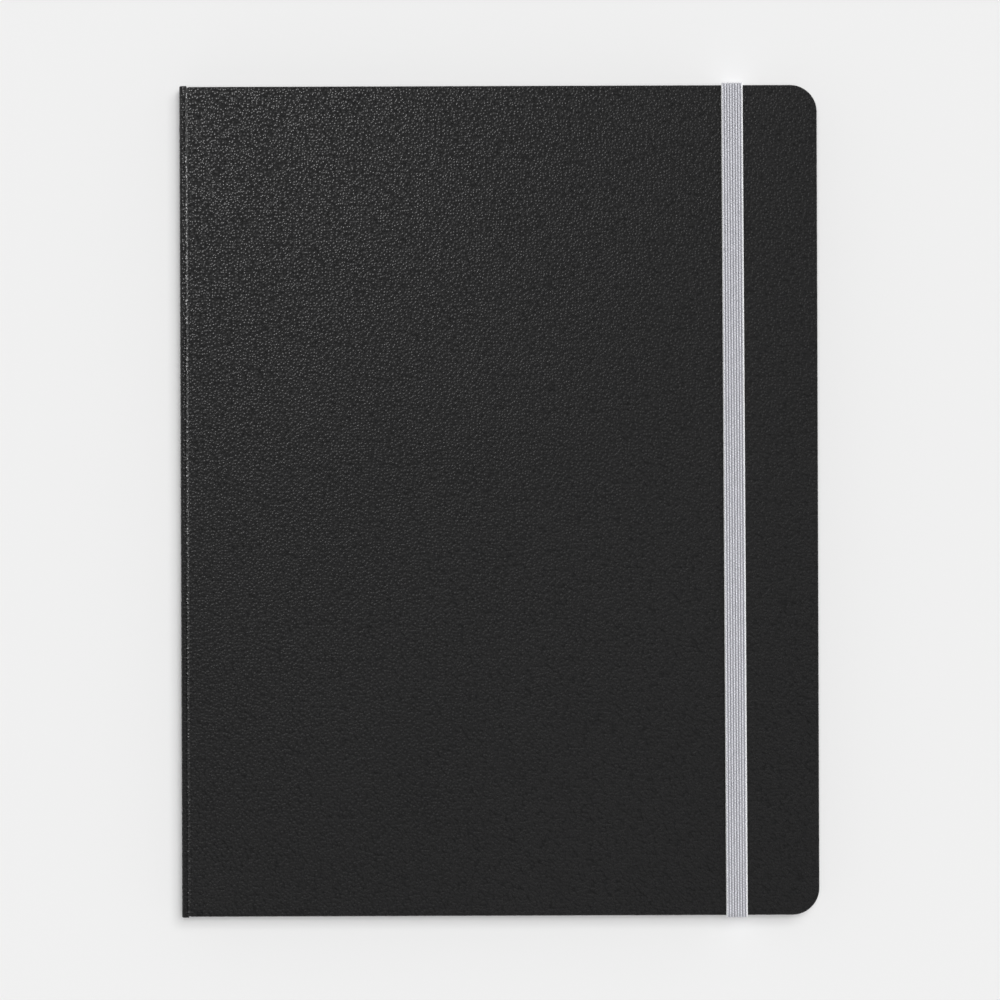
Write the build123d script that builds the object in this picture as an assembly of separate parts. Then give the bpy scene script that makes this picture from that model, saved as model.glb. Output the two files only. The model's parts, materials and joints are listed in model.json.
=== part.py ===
from build123d import *
import os

os.makedirs("parts", exist_ok=True)

# A hardcover sketchbook lying closed on its back cover, in millimetres. +X runs from the spine to
# the foredge, +Y from the tail to the head and +Z up. The origin is the middle of the face that
# the book rests on.

# Driving dimensions
CASE_W = 190.5  # outer face of the spine to the foredge of the covers
CASE_H = 248.0  # tail to head of the covers
CORNER_R = 8.0  # foredge corners of the covers
SQUARE = 2.0  # how far the covers stand past the pages
SKIN_T = 0.4  # leatherette
BOARD_T = 2.0  # cover board, its turned-in skin included
PAPER_T = 0.18  # endpapers and leaves
SIGNATURES = 12
LEAVES_PER_SIGNATURE = 6
TURN_IN = 14.0  # width of the skin folded over onto the inner face of a board
PASTEDOWN_MARGIN = 3.0  # leatherette left showing around a pastedown
STRAP_W = 6.4
STRAP_T = 0.8
STRAP_FROM_FOREDGE = 25.0  # to the middle of the strap
STRAP_BACK_RUN = 9.1  # from the edge of the back cover to the slot
STRAP_TAB = 15.0  # glued under the back pastedown

# Spine
SHOULDER_R = 1.6
SHOULDER_DROP = 0.25  # the spine's shoulders lie this far below the covers' faces
SPINE_PROUD = 0.3  # the spine strip is this much longer than the boards at head and tail
SPINE_DEPTH = 2.6  # outer face of the spine to the back of the pages
CREASE_X = 1.9  # outer face of the spine to the end of its skin
CREASE_GAP = 0.1
SPINE_BOARD_T = 1.0
HOLLOW_GAP = 0.3  # between the spine board and the lining
LINING_T = 0.2
LINING_SHORT = 2.0  # how much shorter than the pages the lining is at each end
MULL_T = 0.25
MULL_SHORT = 5.0
BOARD_CLEARANCE = 0.18  # between the spine board and the turn of the shoulders
THREAD_D = 0.4
THREAD_GAP = 0.05
STITCH_STATIONS = 8
STITCH_PITCH = 28.0

# Worked out from them
SIGNATURE_T = LEAVES_PER_SIGNATURE * PAPER_T
BLOCK_Z0 = SKIN_T + BOARD_T + 2 * PAPER_T
BLOCK_T = SIGNATURES * SIGNATURE_T
THICKNESS = 2 * BLOCK_Z0 + BLOCK_T
SPINE_X = -CASE_W / 2
FOREDGE_X = CASE_W / 2
HALF_H = CASE_H / 2
PAGE_X0 = SPINE_X + SPINE_DEPTH
PAGE_X1 = FOREDGE_X - SQUARE
PAGE_HALF_H = HALF_H - SQUARE
PAGE_R = CORNER_R - SQUARE
CREASE_END_X = SPINE_X + CREASE_X
SKIN_X0 = CREASE_END_X + CREASE_GAP
BOARD_X0 = SKIN_X0 + SKIN_T
FRONT_OUT_Z = THICKNESS - SKIN_T
FRONT_IN_Z = FRONT_OUT_Z - BOARD_T
STRAP_X = FOREDGE_X - STRAP_FROM_FOREDGE


def sheet(x0, x1, half_y, z0, z1, corner_r=0.0):
    """A flat sheet from z0 to z1, with its two foredge corners rounded."""
    blank = Pos((x0 + x1) / 2, 0, (z0 + z1) / 2) * Box(x1 - x0, 2 * half_y, z1 - z0)
    if corner_r == 0:
        return blank
    foredge_corners = blank.edges().filter_by(Axis.Z).sort_by(Axis.X)[-2:]
    return fillet(foredge_corners, corner_r)


def block(x0, x1, y0, y1, z0, z1):
    """A plain block between two corners."""
    centre = Pos((x0 + x1) / 2, (y0 + y1) / 2, (z0 + z1) / 2)
    return centre * Box(x1 - x0, y1 - y0, z1 - z0)


def turned_over(part):
    """The same piece on the other cover."""
    return mirror(part, about=Plane.XY.offset(THICKNESS / 2))


def at_head_and_tail(part):
    """A piece at the head with its twin at the tail."""
    return [part, mirror(part, about=Plane.XZ)]


def cover_board():
    """The front board. The turned-in skin is let into its inner face, so that face is level."""
    rebate_z = FRONT_IN_Z + SKIN_T
    full = sheet(
        BOARD_X0,
        FOREDGE_X - SKIN_T,
        HALF_H - SKIN_T,
        rebate_z,
        FRONT_OUT_Z,
        CORNER_R - SKIN_T,
    )
    inner = sheet(
        BOARD_X0, FOREDGE_X - TURN_IN, HALF_H - TURN_IN, FRONT_IN_Z, rebate_z
    )
    return full + inner


def cover_skin():
    """The leatherette of the front cover, with its turned-in edges."""
    wrapped = sheet(SKIN_X0, FOREDGE_X, HALF_H, FRONT_IN_Z, THICKNESS, CORNER_R)
    return wrapped - cover_board()


def pastedown():
    """The endpaper leaf glued to the inside of the front cover."""
    z1 = FRONT_IN_Z
    return sheet(
        PAGE_X0,
        FOREDGE_X - PASTEDOWN_MARGIN,
        HALF_H - PASTEDOWN_MARGIN,
        z1 - PAPER_T,
        z1,
        CORNER_R - PASTEDOWN_MARGIN,
    )


def flyleaf():
    """The free endpaper leaf under the front cover."""
    z0 = BLOCK_Z0 + BLOCK_T
    return sheet(PAGE_X0, PAGE_X1, PAGE_HALF_H, z0, z0 + PAPER_T, PAGE_R)


def signature(number):
    """One sewn section of folded sheets. Number 1 is under the front cover."""
    z1 = BLOCK_Z0 + BLOCK_T - (number - 1) * SIGNATURE_T
    return sheet(PAGE_X0, PAGE_X1, PAGE_HALF_H, z1 - SIGNATURE_T, z1, PAGE_R)


def anchor_tab():
    """The head end of the strap: flush in the back face, through the board, under the pastedown."""
    x0 = STRAP_X - STRAP_W / 2
    x1 = STRAP_X + STRAP_W / 2
    slot_y1 = HALF_H - STRAP_BACK_RUN
    slot_y0 = slot_y1 - STRAP_T
    inner_z = SKIN_T + BOARD_T
    back_run = block(x0, x1, slot_y0, HALF_H, 0, STRAP_T)
    riser = block(x0, x1, slot_y0, slot_y1, 0, inner_z)
    tab = block(x0, x1, slot_y0 - STRAP_TAB, slot_y1, inner_z - STRAP_T, inner_z)
    return back_run + riser + tab


def elastic_band():
    """The strap in one piece: over the front cover and down past the head and tail edges."""
    x0 = STRAP_X - STRAP_W / 2
    x1 = STRAP_X + STRAP_W / 2
    outer_y = HALF_H + STRAP_T
    outline = block(x0, x1, -outer_y, outer_y, 0, THICKNESS + STRAP_T)
    return outline - block(x0, x1, -HALF_H, HALF_H, 0, THICKNESS)


def spine_skin():
    """The leatherette round the spine, with a rounded shoulder at each side."""
    low_z = SHOULDER_DROP
    high_z = THICKNESS - SHOULDER_DROP
    outer = block(SPINE_X, CREASE_END_X, -HALF_H, HALF_H, low_z, high_z)
    shoulders = outer.edges().filter_by(Axis.Y).sort_by(Axis.X)[:2]
    outer = fillet(shoulders, SHOULDER_R)
    inner = block(
        SPINE_X + SKIN_T, CREASE_END_X, -HALF_H, HALF_H, low_z + SKIN_T, high_z - SKIN_T
    )
    inner_corners = inner.edges().filter_by(Axis.Y).sort_by(Axis.X)[:2]
    inner = fillet(inner_corners, SHOULDER_R - SKIN_T)
    profile = (outer - inner).faces().sort_by(Axis.Y)[0]
    strip = extrude(profile, amount=CASE_H + 2 * SPINE_PROUD, dir=(0, 1, 0))
    return Pos(0, -SPINE_PROUD, 0) * strip


def spine_board():
    """The stiff card inside the spine."""
    x0 = SPINE_X + SKIN_T
    z0 = SHOULDER_DROP + SHOULDER_R + BOARD_CLEARANCE
    half_y = HALF_H - SKIN_T
    return block(x0, x0 + SPINE_BOARD_T, -half_y, half_y, z0, THICKNESS - z0)


def spine_lining():
    """The kraft paper strip glued over the mull."""
    x0 = SPINE_X + SKIN_T + SPINE_BOARD_T + HOLLOW_GAP
    half_y = PAGE_HALF_H - LINING_SHORT
    return block(x0, x0 + LINING_T, -half_y, half_y, BLOCK_Z0, BLOCK_Z0 + BLOCK_T)


def spine_mull():
    """The open-weave cloth glued to the backs of the signatures."""
    x0 = SPINE_X + SKIN_T + SPINE_BOARD_T + HOLLOW_GAP + LINING_T
    half_y = PAGE_HALF_H - MULL_SHORT
    return block(x0, x0 + MULL_T, -half_y, half_y, BLOCK_Z0, BLOCK_Z0 + BLOCK_T)


def sewing_thread():
    """The stitches that link the signatures, one straight run at each station."""
    x = PAGE_X0 - THREAD_GAP - THREAD_D / 2
    z = BLOCK_Z0 + BLOCK_T / 2
    length = BLOCK_T - SIGNATURE_T
    first_y = -STITCH_PITCH * (STITCH_STATIONS - 1) / 2
    return [
        Pos(x, first_y + i * STITCH_PITCH, z) * Cylinder(THREAD_D / 2, length)
        for i in range(STITCH_STATIONS)
    ]


def save(node, *solids):
    """Writes one node. A node may hold several separate solids."""
    shape = solids[0] if len(solids) == 1 else Compound(children=list(solids))
    export_step(shape, f"parts/{node}.step")


def main():
    """Builds every node of the book."""
    anchors = at_head_and_tail(anchor_tab())
    back_board = turned_over(cover_board())
    back_skin = turned_over(cover_skin())
    for anchor in anchors:
        back_board = back_board - anchor
        back_skin = back_skin - anchor

    save("front_board", cover_board())
    save("front_cover_skin", cover_skin())
    save("front_pastedown", pastedown())
    save("front_flyleaf", flyleaf())
    for number in range(1, SIGNATURES + 1):
        save(f"signature_{number:02d}", signature(number))
    save("back_flyleaf", turned_over(flyleaf()))
    save("back_pastedown", turned_over(pastedown()))
    save("back_board", back_board)
    save("back_cover_skin", back_skin)

    save("spine_skin", spine_skin())
    save("spine_board", spine_board())
    save("spine_lining", spine_lining())
    save("spine_mull", spine_mull())
    save("sewing_thread", *sewing_thread())

    save("elastic_anchor_tabs", *anchors)
    save("elastic_band", elastic_band())


main()
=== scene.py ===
import json
import math
import random

import bmesh
import bpy
import numpy as np
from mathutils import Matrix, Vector

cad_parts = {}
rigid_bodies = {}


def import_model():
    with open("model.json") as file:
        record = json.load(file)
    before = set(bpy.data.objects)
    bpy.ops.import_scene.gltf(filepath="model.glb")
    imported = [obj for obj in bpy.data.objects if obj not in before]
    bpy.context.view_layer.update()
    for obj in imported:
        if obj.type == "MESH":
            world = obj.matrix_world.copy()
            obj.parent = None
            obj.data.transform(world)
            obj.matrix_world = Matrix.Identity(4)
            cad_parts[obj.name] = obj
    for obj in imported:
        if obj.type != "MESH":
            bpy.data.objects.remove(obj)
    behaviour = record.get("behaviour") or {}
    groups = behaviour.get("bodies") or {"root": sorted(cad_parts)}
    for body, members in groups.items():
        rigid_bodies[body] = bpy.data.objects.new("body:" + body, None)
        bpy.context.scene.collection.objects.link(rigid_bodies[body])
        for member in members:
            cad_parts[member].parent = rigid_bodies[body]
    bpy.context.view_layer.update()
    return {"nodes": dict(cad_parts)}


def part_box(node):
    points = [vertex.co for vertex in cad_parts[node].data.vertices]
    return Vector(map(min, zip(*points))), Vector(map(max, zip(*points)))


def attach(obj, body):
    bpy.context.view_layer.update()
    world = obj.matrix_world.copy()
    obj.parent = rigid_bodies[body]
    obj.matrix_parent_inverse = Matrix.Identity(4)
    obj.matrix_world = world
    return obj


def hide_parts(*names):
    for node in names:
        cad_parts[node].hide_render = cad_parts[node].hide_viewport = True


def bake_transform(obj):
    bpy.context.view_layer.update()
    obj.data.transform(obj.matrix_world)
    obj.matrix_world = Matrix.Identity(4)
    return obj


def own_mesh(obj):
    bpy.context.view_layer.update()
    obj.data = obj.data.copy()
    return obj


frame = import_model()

random.seed(11)
MM = 0.001

# The frame: where the CAD puts the covers, the spine, the pages and the strap, in metres.
COVER_LOW, COVER_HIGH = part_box("front_cover_skin")
SPINE_LOW, SPINE_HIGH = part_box("spine_skin")
STRAP_LOW, STRAP_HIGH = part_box("elastic_band")
TOP = COVER_HIGH.z
FOREDGE = COVER_HIGH.x
HALF_H = COVER_HIGH.y
SPINE_X = SPINE_LOW.x
CREASE_X = SPINE_HIGH.x
SPINE_HALF_H = SPINE_HIGH.y
BOARD_T = TOP - COVER_LOW.z

# Leatherette
SKIN_T = 0.4 * MM
CORNER_R = 8.0 * MM
SPINE_CORNER_R = 0.7 * MM
EDGE_R = 0.5 * MM  # rounding of the cover's outer edge
INNER_EDGE_R = 0.5 * MM
TURN_IN = 14.0 * MM
SHOULDER_R = 0.9 * MM  # every turn of the outline over the shoulder and the crease
SHOULDER_TILT = 6  # degrees from level, beside the shoulder
SHOULDER_RUN = 0.75 * MM
CREASE_TILT = 26  # degrees from level, where the leatherette climbs onto the board
CREASE_RUN = 0.4 * MM
COVER_START = 0.25 * MM  # the cover's own skin starts this far in, under the joint's lap
JOINT_END_X = SPINE_X + 3.1 * MM  # where the joint's leatherette runs out on the cover

PEBBLE_PITCH = 0.84 * MM
PEBBLE_TILT = 0.45  # how steep the pebbles' sides are
WRINKLE_DEPTH = 0.02 * MM

# Pages
SQUARE = 2.0 * MM  # how far the covers stand past the pages
PASTEDOWN_MARGIN = 3.0 * MM
PAGE_R = CORNER_R - SQUARE
PASTEDOWN_R = CORNER_R - PASTEDOWN_MARGIN
FOLD_DEPTH = 1.3 * MM  # how far in from the spine a section's leaves draw together
FOLD_SHARE = 0.45  # a section's thickness at its fold, over its full thickness
SIGNATURES = 12
LEAVES = 6
LEAF_GAP = 0.02 * MM

# Strap
STRAP_BACK_RUN = 9.1 * MM  # from the edge of the back cover to the slot
RIBS = 8
STRAP_T = STRAP_HIGH.z - TOP
STRAP_PITCH = (STRAP_HIGH.x - STRAP_LOW.x) / RIBS
KNIT_PITCH = 0.78 * MM
STRAP_LEAN = 0.7 * MM  # how far the strap wanders towards the foredge from head to tail

# Light: azimuths from +X, and tilts from straight above, in degrees
HORIZON_LEVEL = 0.872
DOME_LEVEL = 0.15
SUN_DISTANCE = 2
FLOOR_LAMPS = (  # name, azimuth, tilt, energy, width
    ("floor_overhead", 46, 1.2, 1.862, 12),
    ("floor_slanting", 50, 11, 1.127, 16),
)
FILL_TILT = 58
FILL_WIDTH = 50
FILL_LAMPS = (  # name, azimuth, energy
    ("fill_head_foredge", 40, 2.2),
    ("fill_head_spine", 140, 1.0),
    ("fill_tail_spine", 220, 0.8),
    ("fill_tail_foredge", 320, 1.9),
)
KEY_AZIMUTH = 128
KEY_TILT = 14
KEY_DISTANCE = 0.55
KEY_SIZE = 0.1
KEY_ENERGY = 0.64
CREASE_LAMP_AZIMUTH = 180
CREASE_LAMP_TILT = 50
CREASE_LAMP_DISTANCE = 0.4
CREASE_LAMP_AIM_Y = 0.1
CREASE_LAMP_LENGTH = 0.2
CREASE_LAMP_WIDTH = 0.06
CREASE_LAMP_ENERGY = 0.9

# Camera
CAMERA_HEIGHT = 3.0
CAMERA_X = 0.2 * MM
CAMERA_Y = 0.25 * MM
CAMERA_ROLL = -0.2  # degrees
COVER_SHARE = 0.6375  # the book's width over the picture's


# ---------------------------------------------------------------- mesh helpers


def mesh_object(name, points, faces, material, sharp_deg=35):
    """A new object from points and faces, smooth except over edges sharper than sharp_deg."""
    mesh = bpy.data.meshes.new(name)
    mesh.from_pydata([tuple(p) for p in points], [], faces)
    work = bmesh.new()
    work.from_mesh(mesh)
    bmesh.ops.recalc_face_normals(work, faces=work.faces)
    work.to_mesh(mesh)
    work.free()
    mesh.polygons.foreach_set("use_smooth", [True] * len(mesh.polygons))
    mesh.set_sharp_from_angle(angle=math.radians(sharp_deg))
    mesh.materials.append(material)
    piece = bpy.data.objects.new(name, mesh)
    bpy.context.scene.collection.objects.link(piece)
    return piece


def bridge(rings, closed_ring=True, closed_loop=False):
    """Points and quads for a row of rings that all have the same number of points."""
    size = len(rings[0])
    points = [p for ring in rings for p in ring]
    faces = []
    ring_pairs = len(rings) if closed_loop else len(rings) - 1
    steps = size if closed_ring else size - 1
    for i in range(ring_pairs):
        a = i * size
        b = ((i + 1) % len(rings)) * size
        for k in range(steps):
            n = (k + 1) % size
            faces.append((a + k, a + n, b + n, b + k))
    return points, faces


def arc(start_deg, end_deg, steps):
    """Angles in radians from start to end."""
    return [math.radians(start_deg + (end_deg - start_deg) * i / steps) for i in range(steps + 1)]


def rounded_outline(x0, x1, half_y, spine_r, foredge_r, inset=0.0):
    """A rectangle seen from above, with its two spine corners and two foredge corners rounded."""
    x0, x1, half_y = x0 + inset, x1 - inset, half_y - inset
    least = 0.05 * MM
    corners = (
        (x0, -1, max(spine_r - inset, least), 180),
        (x1, -1, max(foredge_r - inset, least), 270),
        (x1, 1, max(foredge_r - inset, least), 0),
        (x0, 1, max(spine_r - inset, least), 90),
    )
    outline = []
    for x, side, r, start in corners:
        centre_x = x + r if x == x0 else x - r
        centre_y = side * (half_y - r)
        for a in arc(start, start + 90, 12):
            outline.append((centre_x + r * math.cos(a), centre_y + r * math.sin(a)))
    return outline


def cut(piece, low, high):
    """Takes the block between two corners out of a piece."""
    xs, ys, zs = zip(low, high)
    corners = [(x, y, z) for x in xs for y in ys for z in zs]
    sides = [(0, 1, 3, 2), (4, 6, 7, 5), (0, 4, 5, 1), (2, 3, 7, 6), (0, 2, 6, 4), (1, 5, 7, 3)]
    block = mesh_object("cutter", corners, sides, piece.data.materials[0])
    modifier = piece.modifiers.new("cut", "BOOLEAN")
    modifier.operation = "DIFFERENCE"
    modifier.solver = "EXACT"
    modifier.object = block
    bpy.context.view_layer.update()
    evaluated = piece.evaluated_get(bpy.context.evaluated_depsgraph_get())
    made = bpy.data.meshes.new_from_object(evaluated)
    piece.modifiers.clear()
    piece.data = made
    bpy.data.objects.remove(block)


# ---------------------------------------------------------------- material helpers


def new_material(name):
    """A node material, its tree and its shader."""
    material = bpy.data.materials.new(name)
    material.use_nodes = True
    return material, material.node_tree, material.node_tree.nodes["Principled BSDF"]


def add(tree, kind, settings=None, **inputs):
    """A new node. Inputs are named with underscores for spaces, or in_0, in_1 by number."""
    node = tree.nodes.new(kind)
    for key, value in (settings or {}).items():
        setattr(node, key, value)
    for key, value in inputs.items():
        which = int(key[3:]) if key.startswith("in_") else key.replace("_", " ")
        socket = node.inputs[which]
        if isinstance(value, bpy.types.NodeSocket):
            tree.links.new(value, socket)
        else:
            socket.default_value = value
    return node


def position(tree):
    """The place on the object, in metres, in the row frame at rest."""
    return add(tree, "ShaderNodeTexCoord").outputs["Object"]


def noise(tree, where, size, detail=2.0, stretch=None):
    """Noise whose features are about size metres wide."""
    if stretch:
        where = add(tree, "ShaderNodeMapping", None, Vector=where, Scale=stretch).outputs[0]
    node = add(tree, "ShaderNodeTexNoise", None, Vector=where, Scale=1 / size, Detail=detail)
    return node.outputs[0]


def maths(tree, operation, a, b=0.0):
    """One arithmetic step."""
    return add(tree, "ShaderNodeMath", {"operation": operation}, in_0=a, in_1=b).outputs[0]


def spread(tree, value, low, high, to_low=0.0, to_high=1.0):
    """Value between low and high, mapped to another range."""
    node = add(tree, "ShaderNodeMapRange", None, Value=value, From_Min=low, From_Max=high)
    node.inputs["To Min"].default_value = to_low
    node.inputs["To Max"].default_value = to_high
    return node.outputs[0]


def blend_colours(tree, factor, a, b):
    """A mix of two colours."""
    node = add(tree, "ShaderNodeMix", {"data_type": "RGBA"})
    tree.links.new(factor, node.inputs[0])
    for socket, colour in ((node.inputs[6], a), (node.inputs[7], b)):
        if isinstance(colour, bpy.types.NodeSocket):
            tree.links.new(colour, socket)
        else:
            socket.default_value = (*colour, 1.0)
    return node.outputs[2]


def bump(tree, height, depth):
    """A bump of height 0 to 1, depth metres deep."""
    return add(tree, "ShaderNodeBump", None, Height=height, Distance=depth, Strength=1.0).outputs[0]


# ---------------------------------------------------------------- materials


def leatherette():
    """Black bookbinding leatherette whose pebble grain glints where it faces the light, with painted
    shade in the hollows between the pebbles.
    """
    material, tree, shader = new_material("leatherette")
    where = position(tree)
    cells = add(
        tree, "ShaderNodeTexVoronoi", None, Vector=where, Scale=1 / PEBBLE_PITCH, Randomness=0.85
    )
    dome = spread(tree, cells.outputs[0], 0.0, 0.9, 1.0, 0.0)
    from_middle = add(
        tree,
        "ShaderNodeVectorMath",
        {"operation": "SUBTRACT"},
        in_0=where,
        in_1=cells.outputs["Position"],
    )
    outward = add(
        tree,
        "ShaderNodeVectorTransform",
        {"vector_type": "VECTOR", "convert_from": "OBJECT", "convert_to": "WORLD"},
        Vector=from_middle.outputs[0],
    )
    rounding = PEBBLE_TILT / PEBBLE_PITCH
    leaning = add(
        tree,
        "ShaderNodeVectorMath",
        {"operation": "MULTIPLY_ADD"},
        in_0=outward.outputs[0],
        in_1=(rounding, rounding, rounding),
        in_2=bump(tree, noise(tree, where, 5 * MM, 2.0), WRINKLE_DEPTH),
    )
    facing = add(tree, "ShaderNodeVectorMath", {"operation": "NORMALIZE"}, in_0=leaning.outputs[0])
    tree.links.new(facing.outputs[0], shader.inputs["Normal"])
    blotch = spread(tree, noise(tree, where, 38 * MM, 3.0), 0.3, 0.7)
    tone = blend_colours(tree, blotch, (0.0128, 0.0127, 0.0130), (0.0146, 0.0144, 0.0147))
    # Painted shade: the hollows between the pebbles are coloured darker than the pebbles' tops.
    final = blend_colours(tree, spread(tree, dome, 0.1, 0.7), (0.0048, 0.0048, 0.0050), tone)
    tree.links.new(final, shader.inputs["Base Color"])
    rough = spread(tree, dome, 0.2, 0.6, 0.6, 0.21)
    tree.links.new(rough, shader.inputs["Roughness"])
    shader.inputs["Specular IOR Level"].default_value = 0.5
    return material


def paper(name, light, dark, shade, depth):
    """Uncoated drawing paper: cloudy, with short fibres and a toothy surface, with painted shade in
    stripes on its edges for the gaps between the leaves.
    """
    material, tree, shader = new_material(name)
    where = position(tree)
    cloud = noise(tree, where, 6 * MM, 3.0)
    fibre = noise(tree, where, 0.5 * MM, 3.0, (1.0, 0.35, 1.0))
    faint_cloud = maths(tree, "MULTIPLY", cloud, 0.2)
    mixed = maths(tree, "ADD", faint_cloud, maths(tree, "MULTIPLY", fibre, 0.8))
    surface = blend_colours(tree, spread(tree, mixed, 0.35, 0.65), dark, light)
    # Painted shade: darker stripes along the layers on faces that don't face up or down, standing in
    # for the shaded gaps between the leaves.
    normal = add(tree, "ShaderNodeTexCoord").outputs["Normal"]
    level = add(tree, "ShaderNodeSeparateXYZ", None, Vector=normal).outputs[2]
    edge = maths(tree, "SUBTRACT", 1.0, maths(tree, "ABSOLUTE", level))
    painted_gap_stripes = spread(tree, noise(tree, where, 0.6 * MM, 3.0, (0.02, 0.02, 1.0)), 0.4, 0.6)
    final = blend_colours(tree, maths(tree, "MULTIPLY", painted_gap_stripes, edge), surface, shade)
    tree.links.new(final, shader.inputs["Base Color"])
    tree.links.new(bump(tree, fibre, depth), shader.inputs["Normal"])
    tree.links.new(spread(tree, fibre, 0.3, 0.7, 0.82, 0.95), shader.inputs["Roughness"])
    shader.inputs["Specular IOR Level"].default_value = 0.3
    return material


def greyboard():
    """Pressed grey board with darker and lighter pulp flecks."""
    material, tree, shader = new_material("greyboard")
    where = position(tree)
    fleck = noise(tree, where, 0.7 * MM, 4.0)
    cloud = noise(tree, where, 9 * MM, 2.0)
    base = blend_colours(tree, cloud, (0.26, 0.235, 0.20), (0.36, 0.33, 0.285))
    final = blend_colours(tree, spread(tree, fleck, 0.58, 0.72), base, (0.13, 0.115, 0.10))
    tree.links.new(final, shader.inputs["Base Color"])
    tree.links.new(bump(tree, fleck, 0.06 * MM), shader.inputs["Normal"])
    shader.inputs["Roughness"].default_value = 0.92
    return material


def kraft():
    """Brown kraft paper with its fibres along the spine."""
    material, tree, shader = new_material("kraft_paper")
    where = position(tree)
    fibre = noise(tree, where, 0.9 * MM, 4.0, (1.0, 0.2, 1.0))
    final = blend_colours(tree, fibre, (0.26, 0.155, 0.075), (0.46, 0.30, 0.17))
    tree.links.new(final, shader.inputs["Base Color"])
    tree.links.new(bump(tree, fibre, 0.03 * MM), shader.inputs["Normal"])
    shader.inputs["Roughness"].default_value = 0.85
    return material


def woven(name, light, dark, pitch):
    """A plain open weave whose threads run along Y and Z."""
    material, tree, shader = new_material(name)
    axes = add(tree, "ShaderNodeSeparateXYZ", None, Vector=position(tree)).outputs
    turns = 2 * math.pi / pitch
    across = maths(tree, "SINE", maths(tree, "MULTIPLY", axes[1], turns))
    along = maths(tree, "SINE", maths(tree, "MULTIPLY", axes[2], turns))
    high = maths(tree, "MAXIMUM", across, along)
    final = blend_colours(tree, spread(tree, high, -0.4, 0.8), dark, light)
    tree.links.new(final, shader.inputs["Base Color"])
    tree.links.new(bump(tree, high, 0.05 * MM), shader.inputs["Normal"])
    shader.inputs["Roughness"].default_value = 0.9
    return material


def elastic():
    """Pale lilac-grey ribbed elastic: knit loops, painted light on the cords and loops and painted
    shade in the grooves, and light selvedges.
    """
    material, tree, shader = new_material("elastic")
    where = position(tree)
    axes = add(tree, "ShaderNodeSeparateXYZ", None, Vector=where).outputs
    lean = spread(tree, axes[1], HALF_H, -HALF_H, -STRAP_LEAN / 2, STRAP_LEAN / 2)
    straight = maths(tree, "SUBTRACT", axes[0], lean)
    across = maths(tree, "DIVIDE", maths(tree, "SUBTRACT", straight, STRAP_LOW.x), STRAP_PITCH)
    rib = maths(tree, "ABSOLUTE", maths(tree, "SINE", maths(tree, "MULTIPLY", across, math.pi)))
    number = maths(tree, "FLOOR", across)
    path = maths(tree, "DIVIDE", maths(tree, "ADD", axes[1], axes[2]), KNIT_PITCH)
    shifted = maths(tree, "ADD", path, maths(tree, "MULTIPLY", number, 0.5))
    wander = maths(tree, "MULTIPLY", noise(tree, where, 2.5 * MM, 2.0), 0.9)
    turns = maths(tree, "MULTIPLY", maths(tree, "ADD", shifted, wander), 2 * math.pi)
    loop = maths(tree, "SINE", turns)
    loops = maths(tree, "MULTIPLY", spread(tree, loop, -1.0, 1.0), rib)
    yarn = noise(tree, where, 0.16 * MM, 3.0, (1.0, 0.4, 0.4))
    height = maths(tree, "ADD", loops, maths(tree, "MULTIPLY", yarn, 0.45))
    tree.links.new(bump(tree, height, 0.09 * MM), shader.inputs["Normal"])
    # Painted light and shade: the tops of the cords and loops are coloured lighter and the grooves
    # between them darker.
    lit = maths(tree, "ADD", maths(tree, "MULTIPLY", rib, 0.6), maths(tree, "MULTIPLY", loops, 0.4))
    painted_relief_shade = spread(tree, lit, 0.15, 0.95)
    body = blend_colours(tree, painted_relief_shade, (0.295, 0.295, 0.327), (0.64, 0.643, 0.682))
    middle = (STRAP_LOW.x + STRAP_HIGH.x) / 2
    from_middle = maths(tree, "ABSOLUTE", maths(tree, "SUBTRACT", straight, middle))
    half = (STRAP_HIGH.x - STRAP_LOW.x) / 2
    selvedge = spread(tree, from_middle, half - 0.45 * MM, half - 0.1 * MM)
    final = blend_colours(tree, selvedge, body, (0.74, 0.745, 0.75))
    tree.links.new(final, shader.inputs["Base Color"])
    shader.inputs["Roughness"].default_value = 0.78
    shader.inputs["Sheen Weight"].default_value = 0.15
    return material


def thread():
    """Waxed linen thread with a tight twist, with painted shade in the twist's grooves."""
    material, tree, shader = new_material("linen_thread")
    axes = add(tree, "ShaderNodeSeparateXYZ", None, Vector=position(tree)).outputs
    slant = maths(tree, "ADD", axes[1], axes[2])
    twist = maths(tree, "SINE", maths(tree, "MULTIPLY", slant, 2 * math.pi / (0.35 * MM)))
    # Painted shade: the colour follows the twist's bump, darker in its grooves and lighter on its
    # ridges.
    painted_relief_shade = spread(tree, twist, -1.0, 1.0)
    final = blend_colours(tree, painted_relief_shade, (0.55, 0.50, 0.41), (0.82, 0.79, 0.70))
    tree.links.new(final, shader.inputs["Base Color"])
    tree.links.new(bump(tree, twist, 0.03 * MM), shader.inputs["Normal"])
    shader.inputs["Roughness"].default_value = 0.55
    return material


def floor_material():
    """A plain pale sweep."""
    material, tree, shader = new_material("studio_floor")
    tone = noise(tree, position(tree), 0.5, 1.0)
    final = blend_colours(tree, tone, (0.798, 0.798, 0.798), (0.802, 0.802, 0.802))
    tree.links.new(final, shader.inputs["Base Color"])
    shader.inputs["Roughness"].default_value = 1.0
    shader.inputs["Specular IOR Level"].default_value = 0.0
    return material


LEATHERETTE = leatherette()
ELASTIC = elastic()
# Painted shade colour for the gaps between the leaves, laid on the page edges.
PAINTED_LEAF_GAP_SHADE = (0.60, 0.56, 0.47)
SKETCH_PAPER = paper(
    "sketch_paper", (0.80, 0.775, 0.70), (0.745, 0.715, 0.635), PAINTED_LEAF_GAP_SHADE, 0.02 * MM
)
ENDPAPER = paper("endpaper", (0.76, 0.73, 0.64), (0.70, 0.665, 0.575), PAINTED_LEAF_GAP_SHADE, 0.025 * MM)


# ---------------------------------------------------------------- covers


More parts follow.
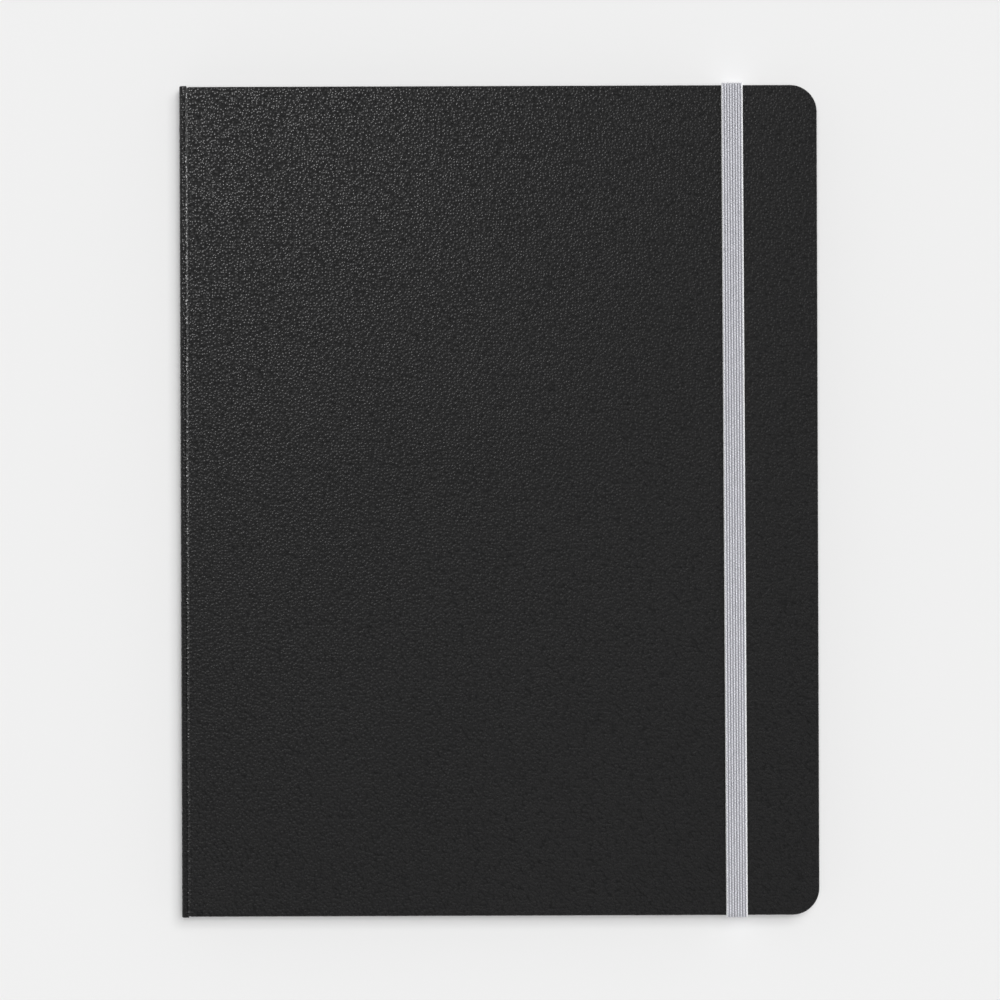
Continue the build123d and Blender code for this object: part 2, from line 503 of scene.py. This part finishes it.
def board_profile():
    """The leatherette round a board as (inset, depth): its outer side, then back along the board."""
    outer = [
        (EDGE_R * (1 - math.sin(a)), EDGE_R * (1 - math.cos(a))) for a in arc(0, 90, 7)
    ]
    inner = [
        (INNER_EDGE_R * (1 - math.cos(a)), BOARD_T - INNER_EDGE_R * (1 - math.sin(a)))
        for a in arc(0, 90, 5)
    ]
    outer_face = [(EDGE_R + 6 * MM, 0.0), (EDGE_R + 0.4 * MM, 0.0)]
    turned_in = [
        (INNER_EDGE_R + 0.4 * MM, BOARD_T),
        (TURN_IN - 0.3 * MM, BOARD_T),
        (TURN_IN, BOARD_T - 0.12 * MM),
        (TURN_IN, BOARD_T - SKIN_T),
    ]
    against_board = [(SKIN_T, BOARD_T - SKIN_T), (SKIN_T, SKIN_T)]
    return outer_face + outer + inner + turned_in + against_board


def cover_skin(name, front):
    """The leatherette of one cover as a closed shell round its board."""
    rings = []
    for inset, depth in board_profile():
        z = TOP - depth if front else depth
        outline = rounded_outline(
            COVER_LOW.x + COVER_START, FOREDGE, HALF_H, SPINE_CORNER_R, CORNER_R, inset
        )
        rings.append([(x, y, z) for x, y in outline])
    points, faces = bridge(rings)
    size = len(rings[0])
    faces.append(tuple(range(size)))
    faces.append(tuple(range((len(rings) - 1) * size, len(rings) * size)))
    return mesh_object(name, points, faces, LEATHERETTE)


def make_covers():
    """Both covers' leatherette."""
    front = cover_skin("front_leatherette", True)
    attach(front, "front_cover")
    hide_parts("front_cover_skin")

    back = cover_skin("back_leatherette", False)
    tabs_low, tabs_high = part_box("elastic_anchor_tabs")
    slot_y = HALF_H - STRAP_BACK_RUN - STRAP_T
    play = 0.1 * MM
    for y0, y1 in ((slot_y - play, HALF_H + MM), (-HALF_H - MM, -slot_y + play)):
        cut(back, (tabs_low.x - play, y0, -MM), (tabs_high.x + play, y1, STRAP_T))
    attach(back, "back_cover")
    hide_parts("back_cover_skin")


# ---------------------------------------------------------------- spine


def shoulder_outline():
    """The outer face from spine to level cover, as (in from the spine, below the top, tilt)."""
    path = [(0.0, 0.0, math.radians(90))]

    def turn(start_deg, end_deg):
        for tilt in arc(start_deg, end_deg, 8)[1:]:
            x, z, last = path[-1]
            x += SHOULDER_R * abs(math.sin(last) - math.sin(tilt))
            z += SHOULDER_R * abs(math.cos(last) - math.cos(tilt))
            path.append((x, z, tilt))

    def run(length):
        x, z, tilt = path[-1]
        path.append((x + length * math.cos(tilt), z + length * math.sin(tilt), tilt))

    turn(90, SHOULDER_TILT)
    run(SHOULDER_RUN)
    turn(SHOULDER_TILT, CREASE_TILT)
    run(CREASE_RUN)
    turn(CREASE_TILT, 0)
    top = path[-1][1]
    return [(x, top - z, tilt) for x, z, tilt in path]


SHOULDER = shoulder_outline()


def spine_profile():
    """The spine's outer face from crease to crease, each point with its outward direction."""
    lower, upper = [], []
    for inward, drop, tilt in SHOULDER:
        if inward > CREASE_X - SPINE_X:
            break
        x = SPINE_X + inward
        sideways, upright = -math.sin(tilt), math.cos(tilt)
        upper.append((Vector((x, 0, TOP - drop)), Vector((sideways, 0, upright))))
        lower.append((Vector((x, 0, drop)), Vector((sideways, 0, -upright))))
    lower = lower[::-1]
    middle = [
        (lower[-1][0].lerp(upper[0][0], i / 6), Vector((-1, 0, 0))) for i in range(1, 6)
    ]
    return lower + middle + upper


def hem_depth(z):
    """How far the folded-in leatherette reaches behind the outer face at the spine's two ends."""
    over_board = 1.8 * MM
    at_crease = 0.6 * MM
    from_middle = abs(z - TOP / 2)
    share = min(max((TOP / 2 - from_middle) / (3 * MM), 0), 1)
    return at_crease + (over_board - at_crease) * share


def spine_leatherette():
    """The strip round the spine, its ends folded over the spine board."""
    hem = 10 * MM
    round_r = 0.35 * MM
    profile = spine_profile()

    def ring(y, depth_of):
        return [tuple(p - out * depth_of(p.z) + Vector((0, y, 0))) for p, out in profile]

    rings = []
    for side in (-1, 1):
        end = side * SPINE_HALF_H
        rolled = []
        for a in arc(90, -90, 12):
            y = end - side * round_r * (1 - math.cos(a))
            share = (1 - math.sin(a)) / 2
            rolled.append(ring(y, lambda z, s=share: hem_depth(z) * s))
        inside = end - side * hem
        rolled.append(ring(inside, hem_depth))
        rolled.append(ring(inside, lambda z: min(SKIN_T, hem_depth(z))))
        rings += rolled[::-1] if side < 0 else rolled
    points, faces = bridge(rings, closed_ring=False, closed_loop=True)
    size = len(profile)
    faces.append(tuple(i * size for i in range(len(rings))))
    faces.append(tuple(i * size + size - 1 for i in range(len(rings))))
    piece = mesh_object("spine_leatherette", points, faces, LEATHERETTE, 50)
    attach(piece, "spine")
    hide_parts("spine_skin")


def joint_height(x):
    """Outer face of the leatherette over the joint, on the shoulder's outline."""
    inward = [p[0] for p in SHOULDER]
    drop = [p[1] for p in SHOULDER]
    return TOP - float(np.interp(x - SPINE_X, inward, drop))


def joint_strip(name, x0, x1, sink0, sink1, front):
    """A strip of leatherette, its ends sunk under the pieces that it joins."""
    steps = 18
    thick = 0.28 * MM
    outer, inner = [], []
    for i in range(steps + 1):
        t = i / steps
        x = x0 + (x1 - x0) * t
        z = joint_height(x) - sink0 * max(1 - 4 * t, 0) - sink1 * max(4 * t - 3, 0)
        outer.append((x, z))
        inner.append((x, z - thick))
    section = outer + inner[::-1]
    half_y = HALF_H - 0.15 * MM
    rings = []
    for y in (-half_y, -half_y + 0.3 * MM, half_y - 0.3 * MM, half_y):
        rings.append([(x, y, z if front else TOP - z) for x, z in section])
    points, faces = bridge(rings)
    size = len(section)
    faces.append(tuple(range(size)))
    faces.append(tuple(range(3 * size, 4 * size)))
    return mesh_object(name, points, faces, LEATHERETTE, 50)


def make_joints():
    """The leatherette over the two joints."""
    under_spine = CREASE_X - 0.6 * MM
    crease = COVER_LOW.x - 0.05 * MM
    lap = 0.22 * MM
    shallow = 0.03 * MM
    to_pages = ("spine", "upper_pages")
    to_front = ("upper_pages", "front_cover")
    to_back = ("spine", "back_cover")
    strips = (
        ("front_joint_spine_side", under_spine, crease, lap, 0.0, True, to_pages),
        ("front_joint_cover_side", crease, JOINT_END_X, 0.0, shallow, True, to_front),
        ("back_joint", under_spine, JOINT_END_X, lap, shallow, False, to_back),
    )
    for name, x0, x1, sink0, sink1, front, bodies in strips:
        piece = joint_strip(name, x0, x1, sink0, sink1, front)
        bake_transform(piece)


# ---------------------------------------------------------------- pages


def leaf_columns(x0, x1, radius):
    """X values across a leaf: close together beside the spine and round the foredge corners."""
    near = [x0 + 16 * MM * (i / 26) ** 1.3 for i in range(27)]
    far = [near[-1] + (x1 - radius - near[-1]) * i / 5 for i in range(1, 6)]
    corner = [x1 - radius + radius * math.sin(a) for a in arc(0, 90, 8)[1:]]
    return near + far + corner


def leaf_half_height(x, x1, half_y, radius):
    """Half the height of a leaf at x, less in its rounded foredge corners."""
    into = x - (x1 - radius)
    if into <= 0:
        return half_y
    return half_y - radius + math.sqrt(max(radius**2 - into**2, 0))


def leaf(x0, x1, half_y, radius, z0, z1, fold_z=None):
    """Points and faces of one leaf. With fold_z, its spine edge draws in to the section's fold."""
    columns = leaf_columns(x0, x1, radius)
    points, faces = [], []
    for x in columns:
        low, high = z0, z1
        if fold_z is not None:
            share = min((x - x0) / FOLD_DEPTH, 1)
            pull = FOLD_SHARE + (1 - FOLD_SHARE) * math.sqrt(max(1 - (1 - share) ** 2, 0))
            low = fold_z + (z0 - fold_z) * pull
            high = fold_z + (z1 - fold_z) * pull
        half = leaf_half_height(x, x1, half_y, radius)
        points += [(x, -half, low), (x, half, low), (x, half, high), (x, -half, high)]
    for i in range(len(columns) - 1):
        a, b = 4 * i, 4 * i + 4
        for k in range(4):
            n = (k + 1) % 4
            faces.append((a + k, a + n, b + n, b + k))
    faces.append((0, 1, 2, 3))
    last = 4 * (len(columns) - 1)
    faces.append((last, last + 1, last + 2, last + 3))
    return points, faces


def signature_piece(number):
    """One section: three folded sheets, so six leaves, trimmed a hair unevenly."""
    low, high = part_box(f"signature_{number:02d}")
    leaf_t = (high.z - low.z) / LEAVES
    points, faces = [], []
    for i in range(LEAVES):
        x1 = high.x - random.uniform(0, 0.16) * MM
        half = high.y - random.uniform(0, 0.14) * MM
        radius = PAGE_R + random.uniform(-0.1, 0.1) * MM
        z0 = low.z + i * leaf_t + LEAF_GAP / 2
        z1 = low.z + (i + 1) * leaf_t - LEAF_GAP / 2
        new_points, new_faces = leaf(low.x, x1, half, radius, z0, z1, (low.z + high.z) / 2)
        base = len(points)
        points += new_points
        faces += [tuple(base + k for k in face) for face in new_faces]
    piece = mesh_object(f"signature_{number:02d}_leaves", points, faces, SKETCH_PAPER)
    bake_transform(piece)
    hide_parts(f"signature_{number:02d}")


def endpaper_sheet(node, body, radius):
    """A pastedown or a flyleaf."""
    low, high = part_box(node)
    skim = 0.008 * MM
    points, faces = leaf(low.x, high.x, high.y, radius, low.z + skim, high.z - skim)
    piece = mesh_object(f"{node}_sheet", points, faces, ENDPAPER)
    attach(piece, body)
    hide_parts(node)


def endpaper_hinge():
    """The front endpaper's fold, a thin strip from the flyleaf up to the pastedown."""
    flyleaf_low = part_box("front_flyleaf")[0]
    pasted_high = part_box("front_pastedown")[1]
    z0 = flyleaf_low.z + 0.03 * MM
    z1 = pasted_high.z - 0.03 * MM
    half_y = pasted_high.y
    thick = 0.16 * MM
    steps = 24
    heights = [z0 + (z1 - z0) * i / steps for i in range(steps + 1)]
    x = flyleaf_low.x
    section = [(x - 0.01 * MM, z) for z in heights] + [(x + thick, z) for z in reversed(heights)]
    rings = [[(px, y, z) for px, z in section] for y in (-half_y, half_y)]
    points, faces = bridge(rings)
    size = len(section)
    faces.append(tuple(range(size)))
    faces.append(tuple(range(size, 2 * size)))
    piece = mesh_object("front_endpaper_fold", points, faces, ENDPAPER, 60)
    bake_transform(piece)


def make_pages():
    """Every signature and endpaper leaf."""
    for number in range(1, SIGNATURES + 1):
        signature_piece(number)
    endpaper_sheet("front_flyleaf", "upper_pages", PAGE_R)
    endpaper_sheet("front_pastedown", "front_cover", PASTEDOWN_R)
    endpaper_sheet("back_flyleaf", "back_cover", PAGE_R)
    endpaper_sheet("back_pastedown", "back_cover", PASTEDOWN_R)
    endpaper_hinge()


# ---------------------------------------------------------------- strap


def strap_section():
    """The ribbed section as (across, thickness share): rounded cords on top, flat beneath."""
    per_rib = 6
    ribbed = []
    for i in range(RIBS * per_rib + 1):
        u = i / per_rib
        x = STRAP_LOW.x + u * STRAP_PITCH
        rise = abs(math.sin(math.pi * u))
        edge = min(u, RIBS - u)
        lift = 0.62 + 0.38 * rise if edge > 0.05 else 0.5
        ribbed.append((x, lift))
    beneath = [(x, 0.0) for x, _ in ribbed[::-1][:: per_rib // 2]]
    return ribbed + beneath


def strap_path():
    """The strap's inner face from tail to head, each point with its outward direction."""
    bend_r = 0.9 * MM
    inner_z = TOP + 0.02 * MM
    inner_y = HALF_H + 0.02 * MM
    path = []
    for z in (0.0, 2 * MM, 6 * MM, 12 * MM, inner_z - bend_r - 0.3 * MM):
        path.append((-inner_y, z, 180.0))
    for a in (165, 150, 135, 120, 105, 90):
        path.append((-inner_y + bend_r * (1 + math.cos(math.radians(a))), None, float(a)))
    runs = 60
    straight = HALF_H - 2 * bend_r
    for i in range(runs + 1):
        path.append((-straight + 2 * straight * i / runs, inner_z, 90.0))
    mirrored = [(-y, z, 180.0 - a) for y, z, a in reversed(path[:11])]
    out = []
    for y, z, angle in path + mirrored:
        if z is None:
            z = inner_z - bend_r * (1 - math.sin(math.radians(angle)))
        out.append((y, z, math.radians(angle)))
    return out


def make_strap():
    """The closing strap."""
    section = strap_section()
    rings = []
    for y, z, angle in strap_path():
        out_y, out_z = math.cos(angle), math.sin(angle)
        lean = -STRAP_LEAN * y / (2 * HALF_H) * min(z / TOP, 1)
        ring = []
        for x, lift in section:
            out = STRAP_T * lift
            ring.append((x + lean, y + out_y * out, z + out_z * out))
        rings.append(ring)
    points, faces = bridge(rings)
    size = len(section)
    faces.append(tuple(range(size)))
    faces.append(tuple(range((len(rings) - 1) * size, len(rings) * size)))
    piece = mesh_object("closing_strap", points, faces, ELASTIC, 60)
    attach(piece, "elastic")
    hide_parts("elastic_band")
    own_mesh(piece)


# ---------------------------------------------------------------- carried-over CAD nodes


def finish_cad_nodes():
    """Gives each node that stays its own procedural material."""
    finishes = {
        "front_board": greyboard(),
        "back_board": bpy.data.materials["greyboard"],
        "spine_board": bpy.data.materials["greyboard"],
        "spine_lining": kraft(),
        "spine_mull": woven("mull", (0.78, 0.755, 0.68), (0.42, 0.39, 0.33), 1.1 * MM),
        "sewing_thread": thread(),
        "elastic_anchor_tabs": ELASTIC,
    }
    for node, material in finishes.items():
        slots = frame["nodes"][node].material_slots
        for slot in slots:
            slot.material = material


# ---------------------------------------------------------------- studio


def make_floor():
    """A wide level floor just under the book."""
    half = 8.0
    z = -0.00002
    corners = [(-half, -half, z), (half, -half, z), (half, half, z), (-half, half, z)]
    floor = mesh_object("floor", corners, [(0, 1, 2, 3)], floor_material())


def make_world():
    """A dim dome with a pale band along the horizon, so that the floor has no edge in low views."""
    world = bpy.data.worlds.new("studio")
    bpy.context.scene.world = world
    world.use_nodes = True
    tree = world.node_tree
    direction = add(tree, "ShaderNodeTexCoord").outputs["Generated"]
    axes = add(tree, "ShaderNodeSeparateXYZ", None, Vector=direction).outputs
    strength = spread(tree, axes[2], 0.03, 0.08, HORIZON_LEVEL, DOME_LEVEL)
    tree.links.new(strength, tree.nodes["Background"].inputs["Strength"])
    tree.nodes["Background"].inputs["Color"].default_value = (1.0, 1.0, 1.0, 1.0)


def linked_lamp(name, kind, azimuth, tilt, distance, aim, receivers, **settings):
    """A lamp seen from its aim at an azimuth and a tilt, which lights only its receivers."""
    light = bpy.data.lights.new(name, kind)
    for key, value in settings.items():
        setattr(light, key, value)
    lamp = bpy.data.objects.new(name, light)
    bpy.context.scene.collection.objects.link(lamp)
    a, t = math.radians(azimuth), math.radians(tilt)
    away = Vector((math.cos(a) * math.sin(t), math.sin(a) * math.sin(t), math.cos(t)))
    lamp.location = Vector(aim) + away * distance
    lamp.rotation_euler = (-away).to_track_quat("-Z", "Y").to_euler()
    lamp.light_linking.receiver_collection = receivers
    return lamp


def make_lamps():
    """Separate lamps for the floor, the book and the front joint's crease."""
    book = bpy.data.collections.new("book_receivers")
    ground = bpy.data.collections.new("floor_receivers")
    crease = bpy.data.collections.new("crease_receivers")
    for piece in bpy.context.scene.objects:
        if piece.type == "MESH":
            (ground if piece.name == "floor" else book).objects.link(piece)
            if piece.name.startswith("front_joint"):
                crease.objects.link(piece)
            if piece.data.materials[0] in (SKETCH_PAPER, ENDPAPER):
                piece.visible_diffuse = False  # lit page edges would brighten the floor
    centre = (0, 0, TOP)
    for name, azimuth, tilt, energy, width in FLOOR_LAMPS:
        width = math.radians(width)
        linked_lamp(
            name, "SUN", azimuth, tilt, SUN_DISTANCE, centre, ground, energy=energy, angle=width
        )
    width = math.radians(FILL_WIDTH)
    for name, azimuth, energy in FILL_LAMPS:
        fill = linked_lamp(
            name, "SUN", azimuth, FILL_TILT, SUN_DISTANCE, centre, book, energy=energy, angle=width
        )
        fill.visible_glossy = False
    key = linked_lamp(
        "key_softbox",
        "AREA",
        KEY_AZIMUTH,
        KEY_TILT,
        KEY_DISTANCE,
        (SPINE_X, HALF_H, TOP),
        book,
        energy=KEY_ENERGY,
        size=KEY_SIZE,
    )
    key.visible_diffuse = False
    crease_light = linked_lamp(
        "crease_strip",
        "AREA",
        CREASE_LAMP_AZIMUTH,
        CREASE_LAMP_TILT,
        CREASE_LAMP_DISTANCE,
        (SPINE_X, CREASE_LAMP_AIM_Y, TOP),
        crease,
        energy=CREASE_LAMP_ENERGY,
        shape="RECTANGLE",
        size=CREASE_LAMP_LENGTH,
        size_y=CREASE_LAMP_WIDTH,
    )
    crease_light.visible_diffuse = False


def make_camera():
    """Straight above the front cover through a long lens."""
    camera = bpy.data.cameras.new("camera")
    camera.sensor_width = 36
    seen = (FOREDGE - SPINE_X) / COVER_SHARE
    camera.lens = camera.sensor_width * (CAMERA_HEIGHT - TOP) / seen
    camera.clip_end = 50
    holder = bpy.data.objects.new("camera", camera)
    bpy.context.scene.collection.objects.link(holder)
    holder.location = (CAMERA_X, CAMERA_Y, CAMERA_HEIGHT)
    holder.rotation_euler = (0, 0, math.radians(CAMERA_ROLL))
    bpy.context.scene.camera = holder


make_camera()
make_covers()
spine_leatherette()
make_joints()
make_pages()
make_strap()
finish_cad_nodes()
make_floor()
make_world()
make_lamps()
bpy.context.scene.view_settings.view_transform = "Standard"
